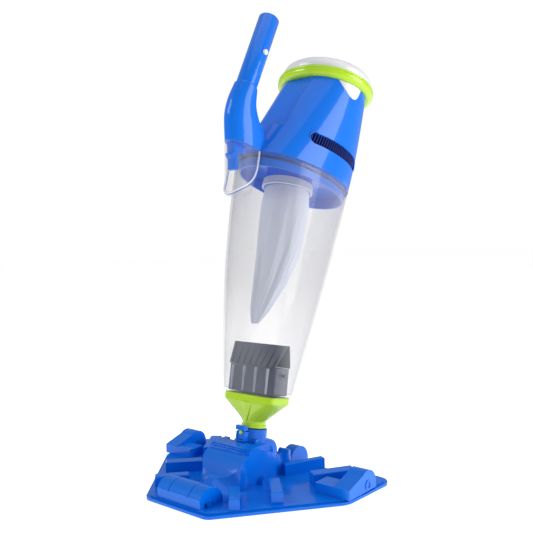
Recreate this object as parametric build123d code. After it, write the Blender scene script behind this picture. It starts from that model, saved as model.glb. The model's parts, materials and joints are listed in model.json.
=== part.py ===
from build123d import *
import os
from math import atan2, cos, degrees, pi, radians, sin

# ------------------------------------------------------------------ driving dimensions (mm, degrees)
RIDE = 0.5              # gap between the floor and the plate's rim; the wheels reach the floor
MID_Y = 82.785          # the plate's datum to the middle of the whole part's length
RIM_H = 4.4             # height of the plate's top deck above the rim's lower edge
FLANGE_H = 2.8          # height of the stepped flange round the deck
FLANGE_W = 3.6          # width of that step
NOSE_HALF = 44.2        # half width of the plate's front edge
NOSE_Y = -85.4
WING_X = 133.5          # where the flared side meets the straight side
WING_Y = 25.6
TAIL_X = 137.8
TAIL_Y = 110.2
TAIL_MID_Y = 84.0       # the back edge sweeps forward to here in the middle
MOUTH_Y = (-46.0, -14.0)    # suction mouth, front and back
MOUTH_HALF = 19.0

NOSE_AXLE = (-65.3, 5.8)    # y, z of the nose roller's axle
NOSE_COVER_R = 17.3
NOSE_COVER_HALF = 31.0
NOSE_ROLLER_R = NOSE_AXLE[1] + RIDE
SIDE_AXLE = (60.0, 10.5)    # y, z of the side wheels' axles
REAR_AXLE = (81.3, 10.5)
WHEEL_R = SIDE_AXLE[1] + RIDE
HOOD_R = 15.4
HOOD_X = (115.8, 135.1)
BOX_X = 93.0            # inner end of the ballast box
BOX_Y = 24.9            # front of the ballast box
BOX_TOP = 14.8
HUMP_X = (16.5, 30.0)
HUMP_R = 16.4
AXLE_R = 2.0
FIT = 0.05              # radial running clearance of a shaft in its hole

DUCT_HALF = 30.0
SEAT_HALF = 28.5
SEAT_TOP = 43.6
PIVOT = (32.0, 27.5)    # y, z of the neck's hinge pin
PIVOT_R = 13.0
PIN_R = 2.5

LOW_TILT = 11.0         # lean of the inlet end of the body
TOP_TILT = 17.5         # lean of the motor end of the body
LOW = Plane(origin=(0, 37, 54), x_dir=(1, 0, 0), z_dir=(0, sin(radians(LOW_TILT)), cos(radians(LOW_TILT))))
TOP = Plane(origin=(0, 193, 453), x_dir=(1, 0, 0), z_dir=(0, sin(radians(TOP_TILT)), cos(radians(TOP_TILT))))

COLLAR_R = 15.7
NECK_R = 13.2           # outside of the funnel's round neck
FUNNEL_TOP = 37.5       # funnel's flange, above the collar's top
SEAM = -130.0           # joint between chamber and motor housing, below the bumper ring
RIM = -8.0              # top of the motor housing
WALL = 2.2              # moulded wall of the chamber
SHELL = 2.4             # moulded wall of the housing
RING_R = 60.5           # outside of the bumper ring
CAP_R = 56.5
CAP_TOP = 20.5
BOSS_C = -41.0          # centre of the bag's boss from the axis of the ring
BOSS_R = 28.0
BOSS_END = -150.0
SKIRT_END = -144.0       # lower edge of the housing's skirt inside the chamber

TUBE_R = 12.0
TUBE_WALL = 1.8
VENT_S = -97.0          # middle of the side vents
VENT_H = 14.0

PIECES = {}


def keep(name, shape):
    """Stand the piece on its wheels, middle it on the origin and remember it under its node name."""
    PIECES[name] = Pos(0, -MID_Y, RIDE) * shape


def box(x0, x1, y0, y1, z0, z1):
    """A block between two corners."""
    return Pos((x0 + x1) / 2, (y0 + y1) / 2, (z0 + z1) / 2) * Box(x1 - x0, y1 - y0, z1 - z0)


def rod_x(x0, x1, y, z, r):
    """A round bar along X."""
    return Pos((x0 + x1) / 2, y, z) * Rot(0, 90, 0) * Cylinder(r, x1 - x0)


def rod_z(x, y, z0, z1, r):
    """A round bar along the local Z."""
    return Pos(x, y, (z0 + z1) / 2) * Cylinder(r, z1 - z0)


def bar_between(a, b, r):
    """A round bar from one point to another."""
    a, b = Vector(a), Vector(b)
    plane = Plane(origin=a, z_dir=(b - a))
    return plane * (Pos(0, 0, (b - a).length / 2) * Cylinder(r, (b - a).length))


def side_profile(points, x0, x1):
    """A polygon of (y, z) points, extruded along X from x0 to x1."""
    face = make_face(Polyline(*[(x0, y, z) for y, z in points], close=True))
    return extrude(face, amount=x1 - x0, dir=(1, 0, 0))


def plan_outline(points, z0, z1):
    """A polygon of (x, y) points, extruded from z0 to z1."""
    face = make_face(Polyline(*[(x, y, z0) for x, y in points], close=True))
    return extrude(face, amount=z1 - z0, dir=(0, 0, 1))


def oval(plane, a, b, c, power, shrink=0.0, count=28):
    """A closed smooth face: half widths a and b, centred c along the plane's y, squarer with power."""
    points = []
    for i in range(count):
        t = 2 * pi * (i + 0.5) / count
        ct, st = cos(t), sin(t)
        x = (a - shrink) * (abs(ct) ** (2 / power)) * (1 if ct > 0 else -1)
        y = c + (b - shrink) * (abs(st) ** (2 / power)) * (1 if st > 0 else -1)
        points.append(plane.from_local_coords((x, y, 0)))
    return make_face(Spline(*points, periodic=True))


def both(shape):
    """The piece and its mirror image in the plane of symmetry."""
    return shape, mirror(shape, about=Plane.YZ)


def largest(shape):
    """The biggest solid of a cut."""
    return max(shape.solids(), key=lambda s: s.volume)


# ------------------------------------------------------------------ vacuum head
def outline_points(inset=0.0):
    """The plate's corners, moved in by a plain scale of each half."""
    fx = (TAIL_X - inset) / TAIL_X
    return [
        (-(NOSE_HALF - inset * 0.6), NOSE_Y + inset), (NOSE_HALF - inset * 0.6, NOSE_Y + inset),
        (WING_X * fx, WING_Y + inset * 0.3), (TAIL_X * fx, TAIL_Y - inset),
        (0, TAIL_MID_Y - inset), (-TAIL_X * fx, TAIL_Y - inset), (-WING_X * fx, WING_Y + inset * 0.3),
    ]


def plate_slab(z0, z1, inset=0.0):
    """The plate's outline between two heights, with its rounded corners."""
    slab = plan_outline(outline_points(inset), z0, z1)
    radius = {"nose": 12, "wing": 26, "tail": 15, "middle": 40}
    for kind, r in radius.items():
        picked = []
        for e in slab.edges().filter_by(Axis.Z):
            x, y = abs(e.center().X), e.center().Y
            spot = "nose" if y < -40 else "middle" if x < 5 else "wing" if y < 60 else "tail"
            straight = e.geom_type == GeomType.LINE
            sharp = any(abs(x - abs(p[0])) < 0.01 and abs(y - p[1]) < 0.01 for p in outline_points(inset))
            if spot == kind and straight and sharp:
                picked.append(e)
        if picked:
            slab = fillet(picked, r - inset * 0.5)
    return slab


RIBS = {                # foot and head of each deck rib's middle line, its width and its top
    "front": ((58.0, -60.0), (33.0, -33.0), 11.0, 15.5),
    "side": ((82.0, -23.0), (53.0, 7.0), 12.0, 16.5),
    "inner": ((35.0, 46.0), (56.0, 91.5), 8.0, 17.0),
    "outer": ((77.0, 41.0), (103.0, 82.0), 14.0, 17.0),
}


def rib(foot, head, width, top):
    """A straight block on the deck, its upper edges eased."""
    dx, dy = head[0] - foot[0], head[1] - foot[1]
    length = (dx * dx + dy * dy) ** 0.5
    spot = Pos((foot[0] + head[0]) / 2, (foot[1] + head[1]) / 2, 0) * Rot(0, 0, degrees(atan2(dy, dx)))
    block = Pos(0, 0, (top + RIM_H) / 2) * Box(length, width, top - RIM_H)
    block = chamfer(block.faces().sort_by(Axis.Z)[-1].edges(), 0.8)
    return spot * block


SCREWS = ((24.5, 2.0), (24.5, 40.0), (62.0, 12.0), (104.0, 28.0), (92.0, 66.0))


def base_plate():
    """The deck with its stepped flange and ribs, hollow below, with its mouth and wheel openings."""
    plate = plate_slab(0, FLANGE_H) + plate_slab(FLANGE_H, RIM_H, FLANGE_W)
    plate -= plate_slab(-1, 2.0, 8.0) - box(-150, 150, -20, 20, -2, 3) - rod_z(0, 0, -2, 3, 30)
    plate -= box(-MOUTH_HALF, MOUTH_HALF, *MOUTH_Y, -1, RIM_H + 1)
    plate -= box(-27.6, 27.6, NOSE_AXLE[0] - 8.2, NOSE_AXLE[0] + 8.2, -1, RIM_H + 1)
    for side in (1, -1):
        for axle, x0, x1 in ((SIDE_AXLE, 117.9, 133.0), (REAR_AXLE, 18.1, 28.4)):
            low, high = sorted((side * x0, side * x1))
            plate -= box(low, high, axle[0] - 12.5, axle[0] + 12.5, -1, RIM_H + 1)
    for side in (1, -1):
        low, high = sorted((side * 25.9, side * 62.1))
        plate -= box(low, high, -14.1, -7.9, -1, 2.05)
    for x, y in SCREWS:
        plate -= rod_z(x, y, -1, 2.0, 3.4) + rod_z(-x, y, -1, 2.0, 3.4)
    plate -= box(-29.8, 29.8, NOSE_AXLE[0] - 2.3, NOSE_AXLE[0] + 2.3, 3.4, RIM_H + 1)
    for foot, head, width, top in RIBS.values():
        for one in both(rib(foot, head, width, top)):
            plate += one
    for one in both(rod_x(30.3, 36.0, 15.0, RIM_H, 8.0) & box(0, 60, 0, 40, RIM_H, 20)):
        plate += one
    return largest(plate)


DUCT_SECTIONS = (       # y, half width at the top, top height, half width at the deck
    (-47.0, 3.5, 12.5, 13.0),
    (-36.0, 5.0, 14.5, 22.0),
    (-27.0, 12.0, 18.0, 28.5),
    (-20.0, 25.0, 25.5, 30.0),
    (-13.0, 29.0, 33.5, 30.0),
    (-4.0, 29.6, 37.6, 30.0),
    (8.0, 29.6, 37.8, 30.0),
    (30.0, 29.6, 33.6, 30.0),
    (52.0, 29.6, 26.8, 30.0),
    (66.0, 29.6, 24.0, 30.0),
)


def duct_loft(inset, z_low):
    """The hood over the suction path, inset on every side."""
    faces = []
    last = len(DUCT_SECTIONS) - 1
    for i, (y, half_top, top, half_low) in enumerate(DUCT_SECTIONS):
        y += inset * (1 if i == 0 else -1 if i == last else 0)
        ht, hl, zt = max(half_top - inset, 1.5), half_low - inset, top - inset
        points = [(-hl, y, z_low), (hl, y, z_low), (ht, y, zt), (-ht, y, zt)]
        faces.append(make_face(Polyline(*points, close=True)))
    return loft(faces)


def duct_cover():
    """The swan-necked hood, open below, with the trough the neck swings in and the stepped pad."""
    hood = duct_loft(0, RIM_H)
    for step, (inset, top) in enumerate(((0.0, 40.2), (1.6, 42.0), (3.2, SEAT_TOP))):
        reach = SEAT_HALF + 0.9 - inset * 0.3
        hood += box(-reach, reach, -4.2 + inset, 21.0, 30, top)
    hood -= duct_loft(2.6, RIM_H - 1) & box(-40, 40, -50, 13.5, 0, 60)
    trough = side_profile([(15.5, 70), (15.5, 12), (60, 12), (75, 18), (75, 70)], -21.6, 21.6)
    collar_room = LOW * rod_z(0, 0, -30, 30, COLLAR_R + 1.0)
    hood -= trough
    hood -= collar_room
    hood -= box(-18, 18, 5, 20, 6, 26)
    hood -= rod_x(-29, 29, *PIVOT, PIN_R + FIT)
    return largest(hood)


def rear_hump(side):
    """The rounded wheel hood beside the trough."""
    y, z = REAR_AXLE
    hood = rod_x(*HUMP_X, y, z, HUMP_R)
    hood += box(*HUMP_X, y - HUMP_R, y + HUMP_R, RIM_H, z)
    hood = hood & box(0, 60, 66.2, 110, RIM_H, 60)
    hood -= rod_x(18.1, 28.4, y, z, 12.4) + box(18.1, 28.4, y - 12.4, y + 12.4, 0, z)
    hood -= rod_x(16, 29.4, y, z, AXLE_R + FIT)
    hood = hood.solid()
    return hood if side > 0 else mirror(hood, about=Plane.YZ).solid()


def wing_hood(side):
    """The side wheel's hood and the ballast box beside it, one moulding."""
    y, z = SIDE_AXLE
    x0, x1 = HOOD_X
    hood = rod_x(x0, x1, y, z, HOOD_R)
    slope = side_profile([(BOX_Y, RIM_H), (BOX_Y, BOX_TOP), (y - 9.4, z + 12.2), (y, z), (y + HOOD_R, z),
                          (y + HOOD_R, RIM_H)], x0, x1)
    hood = (hood + slope) & box(0, 200, 0, 200, RIM_H, 60)
    hood -= rod_x(117.9, 133.0, y, z, 12.4) + box(117.9, 133.0, y - 12.4, y + 12.4, 0, z)
    hood -= rod_x(x0 - 1, x1 - 1.2, y, z, AXLE_R + FIT)
    tray = box(BOX_X, x0 + 1, BOX_Y, BOX_Y + 22, RIM_H, BOX_TOP)
    hood += tray
    hood -= box(BOX_X + 2.2, x1 - 2.2, BOX_Y + 2.2, BOX_Y + 19.8, 0, BOX_TOP - 2.2)
    hub = rod_x(x1 - 0.4, x1 + 0.8, y, z, 5.2) - rod_x(x1 - 1, x1 + 2, y, z, 3.2)
    hood = largest(hood + hub)
    return hood if side > 0 else mirror(hood, about=Plane.YZ).solid()


def ballast(side):
    """The weight under the ballast box."""
    block = box(BOX_X + 2.6, HOOD_X[1] - 2.6, BOX_Y + 2.6, BOX_Y + 19.4, RIM_H, BOX_TOP - 2.6)
    block = chamfer(block.edges().filter_by(Axis.Z), 1.5)
    return block if side > 0 else mirror(block, about=Plane.YZ)


def wheel(x0, x1, axle, side, grooves=2):
    """A grooved wheel with its hole and dished sides."""
    y, z = axle
    body = rod_x(x0, x1, y, z, WHEEL_R)
    body = chamfer(body.edges().filter_by(GeomType.CIRCLE), 1.0)
    body -= rod_x(x0 - 1, x1 + 1, y, z, AXLE_R + FIT)
    for i in range(grooves):
        xg = x0 + (x1 - x0) * (i + 1) / (grooves + 1)
        body -= rod_x(xg - 0.7, xg + 0.7, y, z, WHEEL_R + 1) - rod_x(xg - 0.7, xg + 0.7, y, z, WHEEL_R - 1.1)
    body -= rod_x(x0 - 1, x0 + 1.4, y, z, 8.0) - rod_x(x0 - 1, x0 + 1.4, y, z, 4.0)
    body -= rod_x(x1 - 1.4, x1 + 1, y, z, 8.0) - rod_x(x1 - 1.4, x1 + 1, y, z, 4.0)
    body = body.solid()
    return body if side > 0 else mirror(body, about=Plane.YZ).solid()


def axle(x0, x1, place, side, r=AXLE_R):
    """A plain steel pin along X."""
    pin = rod_x(x0, x1, *place, r)
    pin = chamfer(pin.edges().filter_by(GeomType.CIRCLE), 0.4)
    return pin if side > 0 else mirror(pin, about=Plane.YZ)


def nose_cover():
    """The half round cover over the nose roller, in three segments, with its end discs."""
    y, z = NOSE_AXLE
    half = NOSE_COVER_HALF
    cover = rod_x(-half, half, y, z, NOSE_COVER_R) & box(-40, 40, y - 20, y + 20, RIM_H, 40)
    cover = cover & box(-40, 40, NOSE_Y + 5.0, -47.2, RIM_H, 40)
    for x in (-14.6, 14.6):
        cover -= rod_x(x - 0.4, x + 0.4, y, z, 30) - rod_x(x - 0.4, x + 0.4, y, z, NOSE_COVER_R - 0.7)
    cover -= rod_x(-half + 2.4, half - 2.4, y, z, NOSE_COVER_R - 2.4)
    cover -= rod_x(-half - 1, half - 1.0, y, z, AXLE_R + FIT)
    cover -= box(half - 3, half + 1, y - 8.5, y - 5.5, z - 4, z + 3.4)
    hub = rod_x(half - 0.4, half + 1.0, y, z, 5.2) - rod_x(half - 2, half + 2, y, z, 3.4)
    hub = hub & box(0, 60, -100, 0, RIM_H, 40)
    return largest(cover + hub)


def nose_roller():
    """A long roller with shallow rings."""
    y, z = NOSE_AXLE
    roller = rod_x(-27.0, 27.0, y, z, NOSE_ROLLER_R)
    roller = chamfer(roller.edges().filter_by(GeomType.CIRCLE), 0.6)
    for i in range(8):
        x = -23.6 + i * 6.74
        roller -= rod_x(x - 0.6, x + 0.6, y, z, 10) - rod_x(x - 0.6, x + 0.6, y, z, NOSE_ROLLER_R - 0.9)
    roller -= rod_x(-30, 30, y, z, AXLE_R + FIT)
    return roller.solid()


def brush_strips():
    """Two bristle strips under the plate, beside the suction mouth."""
    strips = []
    for side in (1, -1):
        low, high = sorted((side * 26.0, side * 62.0))
        strips.append(box(low, high, -14, -8, -RIDE + 0.1, 2.0))
    return Compound(children=[s.solid() for s in strips])


def head_screws():
    """Pan head screws under the plate, which hold the mouldings above it."""
    screws = []
    for x, y in SCREWS:
        for side in (1, -1):
            screw = rod_z(side * x, y, 0.4, 1.95, 3.2)
            screw = chamfer(screw.faces().sort_by(Axis.Z)[0].edges(), 0.6)
            screw -= box(side * x - 2, side * x + 2, y - 0.4, y + 0.4, 0, 1.1)
            screws.append(screw.solid())
    return Compound(children=screws)


# ------------------------------------------------------------------ neck
def neck_collar():
    """The barrel that turns on the hinge pin, with the tube that holds the funnel's neck."""
    drum = rod_x(-21.0, 21.0, *PIVOT, PIVOT_R)
    tube = LOW * rod_z(0, 0, -24, 0, COLLAR_R)
    bridge = LOW * (Pos(0, 0, -18) * Box(30, 24, 16))
    collar = drum + (tube - rod_x(-40, 40, *PIVOT, 5)) + bridge
    collar -= LOW * rod_z(0, 0, -13, 5, NECK_R + 0.05)
    collar -= LOW * rod_z(0, 0, -45, -10, 10.5)
    collar += (drum & box(-40, 40, PIVOT[0] - 4.6, PIVOT[0] + 4.6, PIVOT[1] - 4.6, PIVOT[1] + 4.6))
    collar -= rod_x(-40, 40, *PIVOT, PIN_R + FIT)
    guide = box(-6.2, 6.2, -COLLAR_R - 6.0, -COLLAR_R + 1.4, -13.5, -3.0)
    collar += LOW * guide
    collar -= LOW * box(-4.4, 4.4, -COLLAR_R - 7, -COLLAR_R + 1.2, -12.0, 5)
    collar -= LOW * rod_x(-6.1, 6.1, -COLLAR_R - 3.4, -8.0, 1.0 + FIT)
    return largest(collar)


def latch_lever():
    """The lever that holds the funnel's neck, with its thumb pad on top."""
    lever = LOW * box(-4.1, 4.1, -COLLAR_R - 5.4, -COLLAR_R - 1.2, -11.4, 3.0)
    pad = LOW * box(-6.4, 6.4, -COLLAR_R - 7.4, -COLLAR_R - 1.2, -1.6, 3.4)
    lever = lever + pad
    lever -= LOW * rod_x(-7, 7, -COLLAR_R - 3.4, -8.0, 1.0 + FIT)
    lever -= LOW * (Pos(0, -COLLAR_R - 4, -4.0) * Rot(90, 0, 0) * Cylinder(2.5, 8))
    return lever.solid()


def latch_pin():
    """The pin of the latch lever."""
    return (LOW * rod_x(-6.0, 6.0, -COLLAR_R - 3.4, -8.0, 1.0)).solid()


def latch_button():
    """The round lime button through the lever."""
    stem = Pos(0, -COLLAR_R - 4.4, -4.0) * Rot(90, 0, 0) * Cylinder(2.4, 3.4)
    return (LOW * chamfer(stem.edges().filter_by(GeomType.CIRCLE), 0.4)).solid()


def neck_pin():
    """The hinge pin of the neck."""
    return rod_x(-28.6, 28.6, *PIVOT, PIN_R).solid()


def funnel():
    """The lime nozzle: round neck below, wide flat mouth above, hollow all through."""
    shoulder = FUNNEL_TOP - 8
    outer = loft([oval(LOW.offset(8.6), 13.6, 13.6, 0, 2.0), oval(LOW.offset(shoulder), 35.8, 18.4, 0, 5.0)])
    outer += extrude(oval(LOW.offset(shoulder - 0.6), 36.4, 19.0, 0, 5.0), amount=8.6)
    outer += LOW * rod_z(0, 0, -12.6, 9.6, NECK_R)
    outer += LOW * rod_z(0, 0, 1.0, 4.0, 14.4)
    throat = oval(LOW.offset(8.0), 11.0, 11.0, 0, 2.0)
    outer -= loft([throat, oval(LOW.offset(shoulder + 1), 33.2, 15.8, 0, 5.0)])
    outer -= extrude(oval(LOW.offset(shoulder + 0.4), 33.9, 16.5, 0, 5.0), amount=12)
    outer -= LOW * rod_z(0, 0, -14, 9.0, 11.2)
    return largest(outer)


def o_ring(plane, centre, z, radius, section):
    """A rubber ring in a plane, pressed to a round section."""
    return (plane * (Pos(0, centre, z) * Torus(radius, section))).solid()


# ------------------------------------------------------------------ chamber and valve
def between(k):
    """The plane a fraction k of the way from the funnel's flange to the seam."""
    a = LOW.from_local_coords(Vector(0, 0, FUNNEL_TOP))
    b = TOP.from_local_coords(Vector(0, 0, SEAM))
    tilt = radians(LOW_TILT + (TOP_TILT - LOW_TILT) * k)
    return Plane(origin=a + (b - a) * k, x_dir=(1, 0, 0), z_dir=(0, sin(tilt), cos(tilt)))


CHAMBER = (             # fraction up, half width, half depth, centre, squareness
    (0.0, 42.0, 21.5, 0.0, 5.0),
    (0.35, 46.8, 45.0, -14.0, 3.5),
    (0.7, 50.6, 69.0, -25.5, 2.5),
    (1.0, 54.0, 85.0, -33.0, 2.1),
)
POCKET = (              # side view of the latch pocket, y and z
    (2, 385), (0, 350), (1, 332), (4, 321), (10, 316.5),
    (18, 317.5), (26, 321.5), (38, 331), (62, 345), (62, 385),
)
KEEL = (14.6, 30.0, -122.8, 2.3)    # half width, half depth, centre and squareness of handle and pocket


def chamber_loft(shrink):
    """The chamber's tapered body."""
    return loft([oval(between(k), a, b, c, p, shrink) for k, a, b, c, p in CHAMBER])


def pocket_block(inset):
    """The latch pocket: a U in side view, rounded in plan."""
    a, b, c, p = KEEL
    side = side_profile(POCKET, -20, 20)
    side = fillet([e for e in side.edges().filter_by(Axis.X) if e.center().Z < 340], 3.0)
    if inset:
        side = Pos(0, inset, inset) * side
    plan = extrude(oval(TOP.offset(-215), a, b, c, p, inset), amount=85)
    return side & plan


def above_seam(gap=0.0):
    """Everything above the seam plane."""
    return TOP * box(-120, 120, -240, 120, SEAM - gap, 120)


def chamber():
    """The clear debris chamber with its pocket for the release latch."""
    body = chamber_loft(0)
    body += pocket_block(0) - above_seam()
    floor = LOW * box(-80, 80, -80, 80, FUNNEL_TOP - 1, FUNNEL_TOP + WALL)
    body -= chamber_loft(WALL) - floor
    body -= pocket_block(WALL) & above_seam(46) & box(-20, 20, -10, 33, 300, 400)
    body -= box(-8.0, 8.0, -10, 22, 338, 361)
    body -= extrude(oval(between(0), 33.6, 15.0, 0, 5.0), amount=WALL + 1)
    for x in (-27.0, -9.0, 9.0, 27.0):
        for y0, y1 in ((-18.8, -16.8), (16.8, 18.8)):
            body += LOW * box(x - 1.2, x + 1.2, y0, y1, FUNNEL_TOP + 1, FUNNEL_TOP + 18)
    return largest(body)


VALVE = (34.5, 15.2)    # half width and half depth of the valve's box
VALVE_FOOT = FUNNEL_TOP + WALL + 0.1
VALVE_EAVE = FUNNEL_TOP + 32.0
VALVE_RIDGE = FUNNEL_TOP + 57.5


def valve_box():
    """The check valve's rectangular frame."""
    a, b = VALVE
    low = LOW.offset(VALVE_FOOT)
    frame = extrude(oval(low, a, b, 0, 7.0), amount=VALVE_EAVE - VALVE_FOOT)
    frame -= extrude(oval(low, a - 2.4, b - 2.4, 0, 7.0), amount=VALVE_EAVE - VALVE_FOOT)
    for end in (-a - 4.5, a - 1.5):
        frame += LOW * rod_x(end, end + 6.0, 0, VALVE_EAVE - 8, 1.6)
    return largest(frame)


def level_strip(x0, x1, ya, yb, z):
    """A flat rectangle across the inlet frame."""
    corners = ((x0, ya, z), (x1, ya, z), (x1, yb, z), (x0, yb, z))
    return LOW * make_face(Polyline(*corners, close=True))


def valve_lip(front):
    """One sloping lip of the valve, with raised ribs along its slope."""
    a, b = VALVE
    sign = -1 if front else 1
    y_low, y_top = sign * (b - 1.0), sign * 0.35
    z0, z1 = VALVE_EAVE + 0.35, VALVE_RIDGE
    thick = 1.5
    skin = loft([
        level_strip(-a + 1, a - 1, y_low - sign * thick, y_low, z0),
        level_strip(-a - 5, a + 5, y_top, y_top + sign * thick, z1),
    ])
    for i in range(8):
        x0 = -a + 4.5 + i * (2 * a - 9.0) / 7
        x1 = x0 * (a + 3) / (a - 2)
        skin += loft([
            level_strip(x0 - 0.7, x0 + 0.7, y_low - sign * 0.5, y_low + sign * 1.3, z0 + 1),
            level_strip(x1 - 0.7, x1 + 0.7, y_top + sign * 0.7, y_top + sign * 2.6, z1 - 2),
        ])
    return largest(skin)


# ------------------------------------------------------------------ motor unit
HOUSING = (             # height in the ring's frame, half width, half depth, centre, squareness
    (SEAM + 0.1, 54.0, 85.0, -33.0, 2.1),
    (-80.0, 55.0, 72.0, -18.0, 2.05),
    (-40.0, 54.5, 61.5, -8.5, 2.0),
    (RIM, 53.0, 53.0, -1.5, 2.0),
)
HANDLE = (              # lean, centre y and z, half width, half depth, squareness
    (17.5, 36.8, 365.98, 14.6, 30.0, 2.3),
    (17.5, 36.0, 390.0, 14.6, 29.0, 2.3),
    (19.0, 32.8, 404.0, 14.3, 23.0, 2.2),
    (22.0, 33.6, 418.0, 13.9, 17.8, 2.1),
    (27.7, 39.6, 434.3, 13.6, 13.6, 2.0),
)
TUBE = Plane(origin=(0, 40.3, 435.7), x_dir=(1, 0, 0), z_dir=(0, 43.3, 82.5))
TUBE_LENGTH = 93.0
CLIP_T = 44.0           # the snap buttons, up the tube
TIP_LENGTH = 26.0       # the tube's turned-down tip, above a 1 mm relief groove
TIP_R = 11.6
BUTTON_R = 3.3
LATCH_PIVOT = (24.0, 380.0)
MOTOR_C = -41.0         # motor and fan axis, from the ring's axis
IMPELLER = (-115.0, -100.0)
PLATE_S = -86.0         # the wall between the wet fan space and the dry motor space


def housing_loft(shrink):
    """The motor unit's outer form."""
    return loft([oval(TOP.offset(s), a, b, c, p, shrink) for s, a, b, c, p in HOUSING])


def vent_cut(side, grow=0.0):
    """The long rounded slot in the side of the housing."""
    half = VENT_H / 2 + grow
    slot = box(14, 80, -62, 22, VENT_S - half, VENT_S + half)
    slot += Pos(47, -62, VENT_S) * Rot(0, 90, 0) * Cylinder(half, 66)
    slot += Pos(47, 22, VENT_S) * Rot(0, 90, 0) * Cylinder(half, 66)
    slot = TOP * slot
    return slot if side > 0 else mirror(slot, about=Plane.YZ)


def port_form(shrink=0.0):
    """The teardrop of the charging port, as a bar through the housing's side."""
    r = 8.0 - shrink
    drop = Pos(60, -12, -20) * Rot(0, 90, 0) * Cylinder(r, 40)
    tip = Pos(60, -12, -20) * Rot(45, 0, 0) * Box(40, r * 1.5, r * 1.5)
    tip = tip & box(30, 90, -40, 20, -20, 0)
    return TOP * ((drop + tip) & box(30, 90, -40, 20, -40, RIM - 1.5 - shrink))


def skirt_ring(outer, inner, low, high):
    """A band inside the chamber's mouth, tapering with it, between two heights."""
    def section(s, shrink):
        t = (SEAM - s) / 76.0
        return oval(TOP.offset(s), 54 - 3.4 * t, 85 - 16 * t, -33 + 7.5 * t, 2.1, shrink)
    solid = loft([section(low, outer), section(high, outer)])
    return solid - loft([section(low - 1, inner), section(high + 1, inner)])


def motor_housing():
    """The shell over motor and battery, with its floor, skirt and the boss that carries the bag."""
    hollow = housing_loft(SHELL) & (TOP * box(-90, 90, -160, 90, SEAM + SHELL, 20))
    shell = housing_loft(0) - hollow
    shell -= TOP * rod_z(0, BOSS_C, SEAM - 5, SEAM + 10, 20.0)
    for side in (1, -1):
        shell -= vent_cut(side)
    shell -= port_form()
    boss = rod_z(0, BOSS_C, BOSS_END, SEAM + 1, BOSS_R)
    boss -= rod_z(0, BOSS_C, BOSS_END - 1, SEAM + 2, BOSS_R - 2.4)
    shell += TOP * boss
    shell += skirt_ring(WALL + 1.6, WALL + 3.6, SKIRT_END, SEAM + 0.4)
    return largest(shell)


def chamber_seal():
    """The rubber band round the skirt."""
    return largest(skirt_ring(WALL + 0.6, WALL + 1.5, SEAM - 5.5, SEAM - 3.0))


def wall_point(y, inset):
    """Half width of the housing's wall at the vents, for a place along the ring frame's y."""
    a, b, c = 54.6 - inset, 76.4 - inset, -23.1
    return a * (1 - (abs(y - c) / b) ** 2.05) ** (1 / 2.05)


def vent_grille(side):
    """The upright fins behind a side vent, between their two rails."""
    ys = [-73 + i * 4.2 for i in range(26)]
    outer = [(wall_point(y, SHELL + 2.9), y) for y in ys]
    inner = [(wall_point(y, SHELL + 4.6), y) for y in reversed(ys)]
    low, high = VENT_S - VENT_H / 2 - 3.0, VENT_S + VENT_H / 2 + 3.0
    face = make_face(Polyline(*[(x, y, low) for x, y in outer + inner], close=True))
    band = extrude(face, amount=high - low, dir=(0, 0, 1))
    for i in range(13):
        y = -66 + i * 7.6
        x = wall_point(y, SHELL + 2.4)
        band -= Pos(x, y + 3.0, VENT_S) * Box(16, 5.6, VENT_H + 1)
    return (TOP * largest(band)).solid() if side > 0 else mirror(TOP * largest(band), about=Plane.YZ).solid()


def port_plug():
    """The soft plug of the charging port."""
    plug = port_form(0.3) & (housing_loft(-0.2) - housing_loft(SHELL + 1.0))
    return largest(plug)


def bumper_ring():
    """The lime ring round the top of the housing."""
    section = Pos(RING_R - 6.2, -1.3) * RectangleRounded(12.4, 13.2, 5.2)
    ring = revolve(Plane.XZ * section, Axis.Z)
    return (TOP * ring).solid()


def top_cap():
    """The white domed cap, hollow below, with the hole for its switch."""
    cap = Pos(0, 0, (CAP_TOP + 5.4) / 2) * Cylinder(CAP_R, CAP_TOP - 5.4)
    cap = fillet(cap.faces().sort_by(Axis.Z)[-1].edges(), 10.0)
    hollow = Pos(0, 0, (CAP_TOP - 2.6 + 4) / 2) * Cylinder(CAP_R - 2.6, CAP_TOP - 6.6)
    hollow = fillet(hollow.faces().sort_by(Axis.Z)[-1].edges(), 7.5)
    body = cap - hollow
    body -= rod_z(0, 0, CAP_TOP - 6, CAP_TOP + 2, 13.5)
    return (TOP * body).solid()


def power_button():
    """The round switch in the cap's middle, with its flange below the cap's skin."""
    button = rod_z(0, 0, CAP_TOP - 5.0, CAP_TOP + 1.6, 13.1)
    button = fillet(button.faces().sort_by(Axis.Z)[-1].edges(), 1.4)
    button += rod_z(0, 0, CAP_TOP - 5.2, CAP_TOP - 3.0, 15.5)
    button -= rod_z(0, 0, CAP_TOP - 6, CAP_TOP - 0.6, 11.2)
    button += rod_z(0, 0, CAP_TOP - 8.0, CAP_TOP, 2.4)
    return (TOP * button).solid()


def coil(radius, height, pitch, wire):
    """A compression spring standing on its plane."""
    path = Helix(pitch=pitch, height=height, radius=radius)
    start = Plane(origin=path @ 0, z_dir=path % 0)
    return sweep(start * Circle(wire), path=path)


def frame_disc():
    """The bracket over motor and cells that carries the board."""
    disc = rod_z(0, -1, RIM - 2.0, RIM - 0.2, 49.6)
    for x, y in ((-30, -18), (30, -18), (0, 34)):
        disc -= rod_z(x, y, RIM - 4, RIM + 2, 9.0)
    for x, y in ((-32, 12), (32, 12), (0, -40), (0, 0)):
        disc += rod_z(x, y, RIM - 1, 1.9, 2.6)
    return (TOP * disc).solid()


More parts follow.
